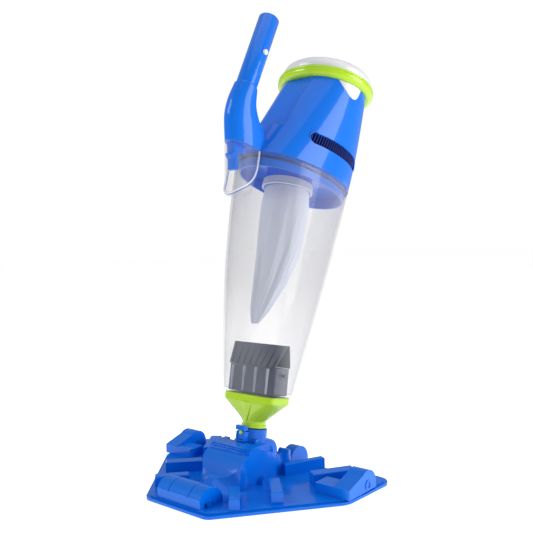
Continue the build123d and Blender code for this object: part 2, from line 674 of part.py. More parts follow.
def control_board():
    """The round board with switch, charger parts and connector."""
    board = rod_z(0, 0, 2.0, 3.6, 44.0)
    board += Pos(0, 0, 6.0) * Box(9, 9, 5.0)
    board += rod_z(0, 0, 8.4, 9.9, 2.2)
    for x, y, w, d, h in ((22, 18, 9, 7, 4), (-24, 14, 12, 10, 3), (-18, -22, 8, 8, 6), (24, -16, 14, 6, 3)):
        board += Pos(x, y, 3.5 + h / 2) * Box(w, d, h)
    for x in (-30, 14, 30):
        board += rod_z(x, -4 + 0.5 * x, 3.5, 9.0, 3.0)
    return (TOP * board).solid()


def motor_plate():
    """The sealed wall under the motor, with the sleeve of its shaft seal."""
    plate = extrude(oval(TOP.offset(PLATE_S), 54.7, 73.5, -19.8, 2.05, SHELL + 1.8), amount=2.4)
    plate += TOP * rod_z(0, MOTOR_C, PLATE_S - 6, PLATE_S + 1, 8.5)
    plate -= TOP * rod_z(0, MOTOR_C, PLATE_S - 7, PLATE_S + 5, 4.5)
    plate -= TOP * rod_z(0, MOTOR_C, PLATE_S - 7, PLATE_S - 1.5, 6.5)
    for side in (1, -1):
        low, high = sorted((side * 25.9, side * 62.1))
        plate -= box(low, high, -14.1, -7.9, -1, 2.05)
    for x, y in SCREWS:
        plate -= rod_z(x, y, -1, 2.0, 3.4) + rod_z(-x, y, -1, 2.0, 3.4)
    plate -= box(-29.8, 29.8, NOSE_AXLE[0] - 2.3, NOSE_AXLE[0] + 2.3, 3.4, RIM_H + 1)
    for foot, head, width, top in RIBS.values():
        for one in both(rib(foot, head, width, top)):
            plate += one
    for one in both(rod_x(30.3, 36.0, 15.0, RIM_H, 8.0) & box(0, 60, 0, 40, RIM_H, 20)):
        plate += one
    return largest(plate)


def shaft_seal():
    """The lip seal round the shaft."""
    seal = rod_z(0, MOTOR_C, PLATE_S - 5.8, PLATE_S - 1.7, 6.4)
    seal -= rod_z(0, MOTOR_C, PLATE_S - 8, PLATE_S, 2.5 + FIT)
    return (TOP * seal).solid()


def motor_can():
    """The motor's steel can with its front boss."""
    can = rod_z(0, MOTOR_C, PLATE_S + 2.5, PLATE_S + 50, 17.0)
    can = chamfer(can.edges().filter_by(GeomType.CIRCLE), 1.2)
    can += rod_z(0, MOTOR_C, PLATE_S + 49, PLATE_S + 53, 6.0)
    can -= rod_z(0, MOTOR_C, PLATE_S, PLATE_S + 16, 2.5 + FIT)
    return (TOP * can).solid()


def motor_shaft():
    """The driven shaft."""
    return (TOP * rod_z(0, MOTOR_C, IMPELLER[0] + 1.0, PLATE_S + 15, 2.5)).solid()


def impeller():
    """The fan: a back disc with seven swept blades round a hub."""
    z0, z1 = IMPELLER
    fan = rod_z(0, 0, z1 - 2.0, z1, 27.0) + rod_z(0, 0, z0, z1, 6.0)
    blade = Pos(14.5, 0, (z0 + z1) / 2 - 0.5) * Rot(0, 0, 24) * Box(21, 1.8, z1 - z0 - 1.4)
    for i in range(7):
        fan += Rot(0, 0, i * 360 / 7) * blade
    fan -= rod_z(0, 0, z0 - 1, z1 + 1, 2.5)
    return (TOP * (Pos(0, MOTOR_C, 0) * fan)).solid()


def fan_ring():
    """The guide round the fan, open towards both vents."""
    ring = rod_z(0, MOTOR_C, SEAM + SHELL + 0.2, PLATE_S - 6.2, 32.0)
    ring -= rod_z(0, MOTOR_C, SEAM, PLATE_S, 29.6)
    ring -= box(-60, 60, MOTOR_C - 14, MOTOR_C + 24, IMPELLER[0], PLATE_S)
    return largest(TOP * ring)


CELLS = ((-21.5, 6.0), (0.0, 11.0), (21.5, 6.0))


def battery_cells():
    """Three round cells side by side."""
    cells = []
    for x, y in CELLS:
        cell = rod_z(x, y, PLATE_S + 4.4, RIM - 5.5, 9.1)
        cell = chamfer(cell.edges().filter_by(GeomType.CIRCLE), 0.6)
        cells.append((TOP * (cell + rod_z(x, y, RIM - 6, RIM - 4.3, 3.0))).solid())
    return Compound(children=cells)


def handle():
    """The elbow from the housing's front up to the pole, hollow, open below for the latch."""
    faces = []
    for tilt, y, z, a, b, p in HANDLE:
        plane = Plane(origin=(0, y, z), x_dir=(1, 0, 0), z_dir=(0, sin(radians(tilt)), cos(radians(tilt))))
        faces.append(oval(plane, a, b, 0, p))
    elbow = loft(faces)
    inner = []
    for tilt, y, z, a, b, p in HANDLE[:3]:
        plane = Plane(origin=(0, y, z), x_dir=(1, 0, 0), z_dir=(0, sin(radians(tilt)), cos(radians(tilt))))
        inner.append(oval(plane.offset(-0.05 if y == HANDLE[0][1] else 0), a, b, 0, p, 2.6))
    elbow -= loft(inner)
    elbow -= housing_loft(-0.4)
    elbow -= TOP * box(-20, 20, -125, -60, SEAM - 2, SEAM + 0.6)
    elbow -= TUBE * rod_z(0, 0, -22, 10, TUBE_R + 0.05)
    elbow -= rod_x(-11.0, 11.0, *LATCH_PIVOT, 1.5 + FIT)
    return largest(elbow)


def pole_stub():
    """The stub of pole tube: a slightly turned-down tip, and the holes of its snap buttons."""
    lead = TUBE_LENGTH - TIP_LENGTH
    tube = rod_z(0, 0, -21.5, lead - 1.0, TUBE_R)
    tube += rod_z(0, 0, lead - 1.0, lead, TIP_R - 0.3)
    tube += rod_z(0, 0, lead, TUBE_LENGTH, TIP_R)
    tube -= rod_z(0, 0, -30, TUBE_LENGTH + 5, TUBE_R - TUBE_WALL)
    tube -= rod_x(-20, 20, 0, CLIP_T, BUTTON_R + 0.25)
    return (TUBE * tube).solid()


def snap_button(side):
    """A domed snap button in its hole."""
    button = rod_x(TUBE_R - 4.6, TUBE_R + 2.2, 0, CLIP_T, BUTTON_R)
    button = fillet(button.faces().sort_by(Axis.X)[-1].edges(), 1.4)
    button += rod_x(TUBE_R - 4.6, TUBE_R - 3.4, 0, CLIP_T, BUTTON_R + 0.8)
    button = button if side > 0 else mirror(button, about=Plane.YZ)
    return (TUBE * button).solid()


def clip_spring():
    """The V spring inside the tube that pushes both buttons out."""
    strip = side_profile([(-3, CLIP_T - 26), (3, CLIP_T - 26), (3, CLIP_T + 4), (-3, CLIP_T + 4)], 4.2, 5.0)
    base = box(-5.0, 5.0, -3, 3, CLIP_T - 26.8, CLIP_T - 26)
    return (TUBE * (strip + mirror(strip, about=Plane.YZ) + base)).solid()


def release_latch():
    """The release tongue in the pocket: thumb tongue, hook under the pocket's strap, pivot block."""
    y, z = LATCH_PIVOT
    tongue_side = [(12.4, 343.5), (14.0, 342.0), (17.0, 342.0), (18.6, 344.0), (18.6, 376), (12.4, 376)]
    block_side = [(17, 360.5), (30.5, 360.5), (30.5, 371), (27.5, 383), (20.5, 383), (17, 376)]
    hook_side = [(9.2, 360.3), (12.6, 360.3), (12.6, 354.0), (9.2, 358.0)]
    tongue, block, hook = [side_profile(side, -5.2, 5.2) for side in (tongue_side, block_side, hook_side)]
    latch = tongue + block + hook
    latch -= rod_x(-9, 9, y, z, 1.5 + FIT)
    return latch.solid()


def filter_bag():
    """The mesh bag, as a closed form hung under the boss."""
    sections = ((-151.0, -41.5, 28.5), (-190.0, -39.5, 27.0), (-224.0, -40.0, 25.0), (-262.0, -45.0, 18.5),
                (-296.0, -53.0, 11.0), (-313.0, -58.0, 4.5))
    return loft([oval(TOP.offset(s), r, r * 0.86, c, 2.0) for s, c, r in sections]).solid()


def bag_cuff():
    """The elastic cuff that holds the bag on the boss."""
    cuff = rod_z(0, BOSS_C, BOSS_END - 0.8, SEAM - 6, BOSS_R + 1.6)
    cuff -= rod_z(0, BOSS_C, BOSS_END - 2, SEAM - 5, BOSS_R + 0.05)
    return (TOP * cuff).solid()


def build_all():
    keep("base_plate", base_plate())
    keep("duct_cover", duct_cover())
    keep("nose_cover", nose_cover())
    keep("nose_roller", nose_roller())
    keep("nose_axle", axle(-29.6, 29.6, NOSE_AXLE, 1))
    keep("brush_strips", brush_strips())
    keep("head_screws", head_screws())
    for side, word in ((1, "right"), (-1, "left")):
        keep("wing_hood_" + word, wing_hood(side))
        keep("ballast_" + word, ballast(side))
        keep("side_wheel_" + word, wheel(118.5, 132.3, SIDE_AXLE, side))
        keep("side_axle_" + word, axle(116.4, 133.6, SIDE_AXLE, side))
        keep("rear_hump_" + word, rear_hump(side))
        keep("rear_wheel_" + word, wheel(18.7, 27.8, REAR_AXLE, side, 1))
        keep("rear_axle_" + word, axle(16.9, 29.2, REAR_AXLE, side))
    keep("neck_collar", neck_collar())
    keep("latch_lever", latch_lever())
    keep("latch_pin", latch_pin())
    keep("latch_button", latch_button())
    keep("neck_pin", neck_pin())
    keep("funnel", funnel())
    keep("chamber", chamber())
    keep("valve_box", valve_box())
    keep("valve_lip_front", valve_lip(True))
    keep("valve_lip_rear", valve_lip(False))
    keep("motor_housing", motor_housing())
    keep("vent_grille_right", vent_grille(1))
    keep("vent_grille_left", vent_grille(-1))
    keep("bumper_ring", bumper_ring())
    keep("top_cap", top_cap())
    keep("chamber_seal", chamber_seal())
    keep("port_plug", port_plug())
    keep("power_button", power_button())
    keep("button_spring", (TOP * (Pos(0, 0, 4.2) * coil(7.2, 13.2, 2.2, 0.4))).solid())
    keep("frame_disc", frame_disc())
    keep("control_board", control_board())
    keep("motor_plate", motor_plate())
    keep("shaft_seal", shaft_seal())
    keep("motor_can", motor_can())
    keep("motor_shaft", motor_shaft())
    keep("impeller", impeller())
    keep("fan_ring", fan_ring())
    keep("battery_cells", battery_cells())
    keep("handle", handle())
    keep("pole_stub", pole_stub())
    keep("snap_button_right", snap_button(1))
    keep("snap_button_left", snap_button(-1))
    keep("clip_spring", clip_spring())
    keep("release_latch", release_latch())
    keep("release_pin", rod_x(-10.9, 10.9, *LATCH_PIVOT, 1.5).solid())
    keep("filter_bag", filter_bag())
    keep("bag_cuff", bag_cuff())
    keep("neck_seal", o_ring(LOW, 0, 0.55, 14.0, 0.5))


build_all()
os.makedirs("parts", exist_ok=True)
for node, shape in PIECES.items():
    export_step(shape, "parts/" + node + ".step")
print(len(PIECES), "nodes")
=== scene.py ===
import json
import math
import random
import bmesh
import bpy
import numpy as np
from mathutils import Matrix, Vector

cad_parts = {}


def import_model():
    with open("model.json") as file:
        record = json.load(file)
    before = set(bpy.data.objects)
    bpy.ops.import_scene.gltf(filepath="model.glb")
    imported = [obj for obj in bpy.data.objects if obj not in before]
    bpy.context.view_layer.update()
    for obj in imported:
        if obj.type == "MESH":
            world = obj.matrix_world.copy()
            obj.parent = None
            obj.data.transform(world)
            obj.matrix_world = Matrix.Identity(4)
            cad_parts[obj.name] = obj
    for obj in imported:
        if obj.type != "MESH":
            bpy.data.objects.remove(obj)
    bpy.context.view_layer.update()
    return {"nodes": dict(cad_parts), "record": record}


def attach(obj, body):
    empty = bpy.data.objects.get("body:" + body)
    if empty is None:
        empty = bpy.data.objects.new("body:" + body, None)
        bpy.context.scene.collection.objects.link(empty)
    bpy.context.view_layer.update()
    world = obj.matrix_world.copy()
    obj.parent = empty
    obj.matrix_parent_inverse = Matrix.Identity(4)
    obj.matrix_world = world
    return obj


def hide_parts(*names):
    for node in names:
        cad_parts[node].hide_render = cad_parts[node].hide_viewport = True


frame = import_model()
random.seed(7)

# ------------------------------------------------------------------ driving dimensions (mm, degrees)
RIDE = 0.5
MID_Y = 82.785
LOW_TILT, LOW_Y, LOW_Z = 11.0, 37.0, 54.0
TOP_TILT, TOP_Y, TOP_Z = 17.5, 193.0, 453.0
FUNNEL_TOP = 37.5
SEAM, RIM = -130.0, -8.0
WALL = 2.2
CHAMBER = ((0.0, 42.0, 21.5, 0.0, 5.0), (0.35, 46.8, 45.0, -14.0, 3.5), (0.7, 50.6, 69.0, -25.5, 2.5),
           (1.0, 54.0, 85.0, -33.0, 2.1))
HOUSING = ((-130.0, 54.0, 85.0, -33.0, 2.1), (-80.0, 55.0, 72.0, -18.0, 2.05),
           (-40.0, 54.5, 61.5, -8.5, 2.0), (-8.0, 53.0, 53.0, -1.5, 2.0))
HANDLE = ((17.5, 36.8, 366.0, 14.6, 30.0, 2.3), (17.5, 36.0, 390.0, 14.6, 29.0, 2.3),
          (19.0, 32.8, 404.0, 14.3, 23.0, 2.2), (22.0, 33.6, 418.0, 13.9, 17.8, 2.1),
          (27.7, 39.6, 434.3, 13.6, 13.6, 2.0))
TUBE_Y, TUBE_Z, TUBE_TILT, TUBE_LENGTH, TUBE_R = 40.3, 435.7, 27.7, 93.0, 12.0
BOSS_C = -41.0


def place(y0, z0, tilt):
    """A function from a leaning frame's x, y, s in millimetres to the shared frame in metres."""
    c, n = math.cos(math.radians(tilt)), math.sin(math.radians(tilt))

    def at(x, y, s):
        return Vector((x, y0 + y * c + s * n - MID_Y, z0 - y * n + s * c + RIDE)) / 1000
    return at


LOW = place(LOW_Y, LOW_Z, LOW_TILT)
TOP = place(TOP_Y, TOP_Z, TOP_TILT)
TUBE = place(TUBE_Y, TUBE_Z, TUBE_TILT)


def world(x, y, z):
    """A place in the shared frame, from millimetres measured at the plate."""
    return Vector((x, y - MID_Y, z + RIDE)) / 1000


# ------------------------------------------------------------------ camera
YAW, PITCH, ROLL = math.radians(40.016), math.radians(-2.626), math.radians(-1.534)
forward = Vector((-math.sin(YAW) * math.cos(PITCH), math.cos(YAW) * math.cos(PITCH), math.sin(PITCH)))
right = Vector((math.cos(YAW), math.sin(YAW), 0))
up = right.cross(forward)
turned_right = right * math.cos(ROLL) + up * math.sin(ROLL)
turned_up = up * math.cos(ROLL) - right * math.sin(ROLL)
camera_data = bpy.data.cameras.new("camera")
camera_data.lens, camera_data.sensor_width = 46.65, 36.0
camera = bpy.data.objects.new("camera", camera_data)
bpy.context.scene.collection.objects.link(camera)
turn = Matrix((turned_right, turned_up, -forward)).transposed()
camera.matrix_world = Matrix.Translation(world(510.39, -540.67, 271.05)) @ turn.to_4x4()
bpy.context.scene.camera = camera


# ------------------------------------------------------------------ materials
def material(name, colour, rough=0.25, coat=0.0, alpha=1.0, grain=0.0, scale=400.0, spread=0.03, metal=0.0,
             gloss=0.5):
    """A surface with a little uneven colour and, where asked, a fine grain."""
    m = bpy.data.materials.new(name)
    m.use_nodes = True
    nodes, links = m.node_tree.nodes, m.node_tree.links
    shader = nodes["Principled BSDF"]
    shader.inputs["Roughness"].default_value = rough
    shader.inputs["Metallic"].default_value = metal
    shader.inputs["Coat Weight"].default_value = coat
    shader.inputs["Coat Roughness"].default_value = 0.06
    shader.inputs["Alpha"].default_value = alpha
    shader.inputs["Specular IOR Level"].default_value = gloss
    place_in = nodes.new("ShaderNodeTexCoord")
    noise = nodes.new("ShaderNodeTexNoise")
    noise.inputs["Scale"].default_value = 18.0
    noise.inputs["Detail"].default_value = 3.0
    ramp = nodes.new("ShaderNodeValToRGB")
    ramp.color_ramp.elements[0].color = [max(0, c * (1 - spread)) for c in colour] + [1]
    ramp.color_ramp.elements[1].color = [min(1, c * (1 + spread)) for c in colour] + [1]
    links.new(place_in.outputs["Object"], noise.inputs["Vector"])
    links.new(noise.outputs["Fac"], ramp.inputs["Fac"])
    links.new(ramp.outputs["Color"], shader.inputs["Base Color"])
    if grain:
        fine = nodes.new("ShaderNodeTexNoise")
        fine.inputs["Scale"].default_value = scale
        fine.inputs["Detail"].default_value = 4.0
        bump = nodes.new("ShaderNodeBump")
        bump.inputs["Strength"].default_value = grain
        bump.inputs["Distance"].default_value = 0.0004
        links.new(place_in.outputs["Object"], fine.inputs["Vector"])
        links.new(fine.outputs["Fac"], bump.inputs["Height"])
        links.new(bump.outputs["Normal"], shader.inputs["Normal"])
    return m


def clear_plastic(name, tint, face, edge):
    """Thin clear moulding: see-through face on, milkier where it is seen along its wall."""
    m = bpy.data.materials.new(name)
    m.use_nodes = True
    nodes, links = m.node_tree.nodes, m.node_tree.links
    shader = nodes["Principled BSDF"]
    shader.inputs["Base Color"].default_value = (*tint, 1)
    shader.inputs["Roughness"].default_value = 0.07
    shader.inputs["Coat Weight"].default_value = 0.5
    facing = nodes.new("ShaderNodeLayerWeight")
    facing.inputs["Blend"].default_value = 0.32
    span = nodes.new("ShaderNodeMapRange")
    span.inputs["To Min"].default_value = face
    span.inputs["To Max"].default_value = edge
    links.new(facing.outputs["Facing"], span.inputs["Value"])
    links.new(span.outputs["Result"], shader.inputs["Alpha"])
    return m


def woven(name, colour):
    """Fine bag mesh: crossed threads that lift the surface."""
    m = material(name, colour, rough=0.85, spread=0.02)
    nodes, links = m.node_tree.nodes, m.node_tree.links
    shader = nodes["Principled BSDF"]
    coord = nodes.new("ShaderNodeTexCoord")
    bumps = []
    for direction in ("X", "Z"):
        wave = nodes.new("ShaderNodeTexWave")
        wave.wave_type = "BANDS"
        wave.bands_direction = direction
        wave.inputs["Scale"].default_value = 260.0
        links.new(coord.outputs["Object"], wave.inputs["Vector"])
        bumps.append(wave)
    add = nodes.new("ShaderNodeMath")
    add.operation = "ADD"
    links.new(bumps[0].outputs["Fac"], add.inputs[0])
    links.new(bumps[1].outputs["Fac"], add.inputs[1])
    bump = nodes.new("ShaderNodeBump")
    bump.inputs["Strength"].default_value = 0.35
    bump.inputs["Distance"].default_value = 0.0004
    links.new(add.outputs["Value"], bump.inputs["Height"])
    links.new(bump.outputs["Normal"], shader.inputs["Normal"])
    shader.inputs["Sheen Weight"].default_value = 0.3
    return m


BLUE = material("blue_plastic", (0.0, 0.16, 0.76), rough=0.3, coat=0.45, grain=0.02, gloss=0.1)
LIME = material("lime_plastic", (0.45, 0.72, 0.008), rough=0.22, coat=0.4, grain=0.02)
WHITE = material("white_plastic", (0.74, 0.74, 0.77), rough=0.3, coat=0.3, grain=0.02)
CLEAR = clear_plastic("clear_plastic", (0.42, 0.42, 0.46), 0.055, 0.5)
# a bright near-white clear material, used only for the painted highlight along the pocket's lip
CLEAR_HIGHLIGHT = clear_plastic("clear_painted_highlight", (0.86, 0.89, 0.97), 0.55, 0.9)
CLEAR_THIN = clear_plastic("clear_thin", (0.40, 0.41, 0.48), 0.04, 0.34)
# dark blue bead material: the real seam line between chamber and housing, and the painted shade under the
# pocket's lip
BLUE_SEAM_AND_SHADE = material("blue_seam_and_painted_shade", (0.02, 0.12, 0.5), rough=0.15, coat=0.5)
SMOKE = material("smoked_plastic", (0.030, 0.042, 0.085), rough=0.25, coat=0.7, grain=0.02)
SMOKE_PALE = material("smoked_rib", (0.36, 0.40, 0.50), rough=0.2, coat=0.6)
STEEL = material("steel", (0.55, 0.56, 0.58), rough=0.3, metal=1.0, grain=0.05)
SEAL = material("seal_rubber", (0.005, 0.04, 0.2), rough=0.5, grain=0.1)
RUBBER = material("black_rubber", (0.02, 0.02, 0.022), rough=0.7, grain=0.2)
GREY = material("dark_plastic", (0.05, 0.055, 0.08), rough=0.45, grain=0.1)
NAVY = material("fin_plastic", (0.002, 0.018, 0.20), rough=0.3, coat=0.4, grain=0.1)
BOARD = material("board", (0.02, 0.16, 0.06), rough=0.5)
CELL = material("cell_wrap", (0.05, 0.3, 0.15), rough=0.35)
BRISTLE = material("bristle", (0.75, 0.78, 0.82), rough=0.7, grain=0.8, scale=900)
IRON = material("iron", (0.2, 0.2, 0.2), rough=0.6, metal=1.0, grain=0.4)
MESH = woven("bag_mesh", (0.60, 0.63, 0.73))

FINISH = {"blue": BLUE, "lime": LIME, "white": WHITE, "clear": CLEAR, "smoke": SMOKE, "steel": STEEL,
          "rubber": RUBBER, "grey": GREY, "board": BOARD, "cell": CELL, "bristle": BRISTLE, "iron": IRON,
          "mesh": MESH}


# ------------------------------------------------------------------ mesh helpers
def finish_mesh(name, verts, faces, mat, body, nodes=(), smooth=40.0, bevel=0.0):
    """One named piece on its body, smooth but with its sharp edges kept."""
    mesh = bpy.data.meshes.new(name)
    mesh.from_pydata([tuple(v) for v in verts], [], faces)
    mesh.validate()
    shape = bmesh.new()
    shape.from_mesh(mesh)
    bmesh.ops.recalc_face_normals(shape, faces=shape.faces)
    shape.to_mesh(mesh)
    shape.free()
    obj = bpy.data.objects.new(name, mesh)
    bpy.context.scene.collection.objects.link(obj)
    mesh.polygons.foreach_set("use_smooth", [True] * len(mesh.polygons))
    mesh.set_sharp_from_angle(angle=math.radians(smooth))
    mesh.materials.append(mat)
    if bevel:
        b = obj.modifiers.new("edge", "BEVEL")
        b.width, b.segments, b.limit_method = bevel / 1000, 3, "ANGLE"
    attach(obj, body)
    if nodes:
        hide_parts(*nodes)
    return obj


def rings_to_faces(rings, loop=False, ends=True):
    """Vertices and quads between rings of equal count; the last ring joins the first if loop."""
    verts = [v for ring in rings for v in ring]
    n, count = len(rings[0]), len(rings)
    faces = []
    for i in range(count if loop else count - 1):
        a, b = i * n, ((i + 1) % count) * n
        for j in range(n):
            k = (j + 1) % n
            faces.append((a + j, a + k, b + k, b + j))
    if ends and not loop:
        faces.append(tuple(range(n))[::-1])
        faces.append(tuple(range((count - 1) * n, count * n)))
    return verts, faces


def oval(at, s, a, b, c, power, count=144):
    """A ring of points on a superellipse in a leaning frame."""
    ring = []
    for i in range(count):
        t = 2 * math.pi * i / count
        ct, st = math.cos(t), math.sin(t)
        x = a * math.copysign(abs(ct) ** (2 / power), ct)
        y = c + b * math.copysign(abs(st) ** (2 / power), st)
        ring.append(at(x, y, s))
    return ring


def smooth_table(table):
    """Each column of a table as a smooth curve of its first column."""
    t = np.array(table, float)
    fits = [np.polyfit(t[:, 0], t[:, i], len(t) - 1) for i in range(1, t.shape[1])]
    return lambda u: [float(np.polyval(f, u)) for f in fits]


def revolve(at, profile, count=144):
    """Rings of a profile of (radius, height) turned round a leaning frame's axis."""
    return [[at(r * math.cos(2 * math.pi * i / count), r * math.sin(2 * math.pi * i / count), s)
             for i in range(count)] for r, s in profile]


def arc(cx, cy, r, a0, a1, n=10):
    """Points on an arc, angles in degrees."""
    return [(cx + r * math.cos(math.radians(a0 + (a1 - a0) * i / n)),
             cy + r * math.sin(math.radians(a0 + (a1 - a0) * i / n))) for i in range(n + 1)]


def tube_line(name, points, radius, mat, body, closed=False):
    """A thin round bead along a path."""
    curve = bpy.data.curves.new(name, "CURVE")
    curve.dimensions = "3D"
    curve.bevel_depth = radius / 1000
    curve.bevel_resolution = 3
    spline = curve.splines.new("NURBS")
    spline.points.add(len(points) - 1)
    for p, q in zip(spline.points, points):
        p.co = (*q, 1)
    spline.use_endpoint_u = True
    spline.order_u = 4
    spline.use_cyclic_u = closed
    obj = bpy.data.objects.new(name, curve)
    bpy.context.scene.collection.objects.link(obj)
    curve.materials.append(mat)
    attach(obj, body)
    return obj


# ------------------------------------------------------------------ CAD nodes that are shown as they are
slots = {p["node"]: p["material_slot"] for p in frame["record"]["subparts"]}
for node, obj in frame["nodes"].items():
    obj.data.materials.clear()
    obj.data.materials.append(FINISH[slots[node]])
    if slots[node] in ("blue", "lime", "white", "grey", "smoke"):
        edge = obj.modifiers.new("edge", "BEVEL")
        edge.width, edge.segments, edge.limit_method = 0.0005, 2, "ANGLE"
        edge.angle_limit = math.radians(35)
        edge.harden_normals = True

frame["nodes"]["chamber_seal"].data.materials[0] = SEAL

# ------------------------------------------------------------------ chamber
chamber_at = smooth_table(CHAMBER)


def chamber_ring(k, shrink, count=160):
    """The chamber's outline a fraction k of the way up, moved in by shrink."""
    a, b, c, p = chamber_at(k)
    o0, o1 = LOW(0, 0, FUNNEL_TOP), TOP(0, 0, SEAM)
    o = o0.lerp(o1, k)
    tilt = LOW_TILT + (TOP_TILT - LOW_TILT) * k
    at = place(o.y * 1000 + MID_Y, o.z * 1000 - RIDE, tilt)
    return oval(at, 0, a - shrink, b - shrink, c, p, count)


def chamber():
    """The clear debris chamber, with a wall of real thickness."""
    steps = [i / 60 for i in range(61)]
    port_out = oval(LOW, FUNNEL_TOP, 33.6, 15.0, 0, 5.0, 160)
    port_in = oval(LOW, FUNNEL_TOP + WALL, 33.6, 15.0, 0, 5.0, 160)
    outer = []
    for i in range(8):
        q = math.radians(90 * i / 8)
        outer.append(chamber_ring(0.018 * (1 - math.cos(q)), 5.0 * (1 - math.sin(q))))
    outer += [chamber_ring(k, 0) for k in steps if k > 0.02]
    inner = [chamber_ring(k, WALL) for k in reversed(steps) if k > 0.012]
    rings = [port_out] + outer + inner + [port_in]
    verts, faces = rings_to_faces(rings, loop=True)
    return finish_mesh("chamber_shell", verts, faces, CLEAR, "vac_body", ("chamber",))


POCKET = ((-130.0, 14.6, 30.0, -122.8, 2.3), (-150.0, 14.6, 28.0, -119.0, 2.3),
          (-166.0, 14.5, 24.0, -118.0, 2.4), (-176.0, 14.1, 18.0, -121.0, 2.5),
          (-182.5, 13.0, 11.5, -126.0, 2.5), (-186.0, 9.5, 6.0, -129.0, 2.4))


def pocket_point(s, angle):
    """A point just outside the pocket's skin at a height and an angle round it."""
    heights = [row[0] for row in POCKET][::-1]
    a, b, c, p = [float(np.interp(s, heights, [row[i] for row in POCKET][::-1])) for i in range(1, 5)]
    ct, st = math.cos(math.radians(angle)), math.sin(math.radians(angle))
    x = (a + 0.4) * math.copysign(abs(ct) ** (2 / p), ct)
    return TOP(x, c + (b + 0.4) * math.copysign(abs(st) ** (2 / p), st), s)


def pocket():
    """The clear pocket round the release tongue, outside the chamber's front."""
    rings = []
    for i in range(len(POCKET) - 1):
        for j in range(8):
            t = j / 8
            s, a, b, c, p = [u + (v - u) * t for u, v in zip(POCKET[i], POCKET[i + 1])]
            rings.append(oval(TOP, s, a, b, c, p, 96))
    rings.append(oval(TOP, *POCKET[-1], 96))
    verts, faces = rings_to_faces(rings, ends=False)
    faces.append(tuple(range((len(rings) - 1) * 96, len(rings) * 96)))
    keep = []
    for f in faces:
        centre = sum((verts[i] for i in f), Vector()) / len(f)
        wall_y = world(0, 44 - (363 - (centre.z * 1000 - RIDE)) * 0.33, 0).y
        if centre.y < wall_y:
            keep.append(f)
    obj = finish_mesh("latch_pocket", verts, keep, CLEAR_THIN, "vac_body")
    solid = obj.modifiers.new("wall", "SOLIDIFY")
    solid.thickness, solid.offset = 0.0018, -1
    rim = ((-131, 10), (-150, 8), (-165, 2), (-176, -20), (-182, -48), (-185.5, -85), (-184.5, -120),
           (-180, -140), (-172, -152), (-160, -158), (-148, -160))
    path = [pocket_point(s, angle) for s, angle in rim]
    # painted highlight: a bright bead along the pocket's lip stands in for the light caught on its clear
    # edge
    tube_line("pocket_painted_highlight", path, 1.0, CLEAR_HIGHLIGHT, "vac_body")
    # painted shade: a thin dark blue bead just below and behind the lip stands in for the shade along it
    shade = [p + Vector((0, 0.0012, -0.0014)) for p in path]
    tube_line("pocket_shade", shade, 0.5, BLUE_SEAM_AND_SHADE, "vac_body")
    return obj


chamber()
pocket()
seam_ring = oval(TOP, SEAM, 54.1, 85.1, -33, 2.1, 72)
tube_line("seam_line", seam_ring, 0.45, BLUE_SEAM_AND_SHADE, "vac_body", closed=True)

# ------------------------------------------------------------------ motor housing
housing_at = smooth_table(HOUSING)


def housing():
    """The blue shell with its flat finger facet in front."""
    rings = []
    count = 192
    for i in range(97):
        s = SEAM + (RIM - SEAM) * i / 96
        a, b, c, p = housing_at(s)
        ring = []
        front = c - b
        for j in range(count):
            t = 2 * math.pi * j / count
            ct, st = math.cos(t), math.sin(t)
            x = a * math.copysign(abs(ct) ** (2 / p), ct)
            y = c + b * math.copysign(abs(st) ** (2 / p), st)
            if s > -86:
                y = max(y, front + 4.2)
            ring.append(TOP(x, y, s))
        rings.append(ring)
    verts, faces = rings_to_faces(rings)
    obj = finish_mesh("housing_shell", verts, faces, BLUE, "vac_body", ("motor_housing",), 32)
    for side in (1, -1):
        cutter = vent_cutter(side)
        cut = obj.modifiers.new("vent", "BOOLEAN")
        cut.operation, cut.object, cut.solver = "DIFFERENCE", cutter, "EXACT"
        bpy.context.view_layer.objects.active = obj
        bpy.ops.object.modifier_apply(modifier=cut.name)
        bpy.data.objects.remove(cutter)
    obj.data.set_sharp_from_angle(angle=math.radians(32))
    return obj


VENT_S, VENT_HALF = -97.0, 7.0


def slot_outline(grow, n=24):
    """The vent's outline in the ring frame's y and s."""
    r, y0, y1 = VENT_HALF + grow, -62.0, 22.0
    right, left = [], []
    for i in range(n + 1):
        t = math.radians(90 - 180 * i / n)
        right.append((y1 + r * math.cos(t), VENT_S + r * math.sin(t)))
        left.append((y0 - r * math.cos(t), VENT_S - r * math.sin(t)))
    return right + left


def vent_cutter(side):
    """A bar in the vent's outline that cuts 7 mm into the wall."""
    verts, faces = [], []
    outline = slot_outline(0)
    n = len(outline)
    for y, s in outline:
        verts.append(TOP(side * (wall_x(y) - 7), y, s))
    for y, s in outline:
        verts.append(TOP(side * 80, y, s))
    for i in range(n):
        j = (i + 1) % n
        faces.append((i, j, n + j, n + i))
    faces += [tuple(range(n))[::-1], tuple(range(n, 2 * n))]
    mesh = bpy.data.meshes.new("cutter")
    mesh.from_pydata([tuple(v) for v in verts], [], faces)
    shape = bmesh.new()
    shape.from_mesh(mesh)
    bmesh.ops.recalc_face_normals(shape, faces=shape.faces)
    shape.to_mesh(mesh)
    shape.free()
    obj = bpy.data.objects.new("cutter", mesh)
    bpy.context.scene.collection.objects.link(obj)
    return obj


def wall_x(y):
    """Half width of the housing's wall at the vents."""
    a, b, c, p = housing_at(VENT_S)
    return a * max(0.02, 1 - (abs(y - c) / b) ** p) ** (1 / p)


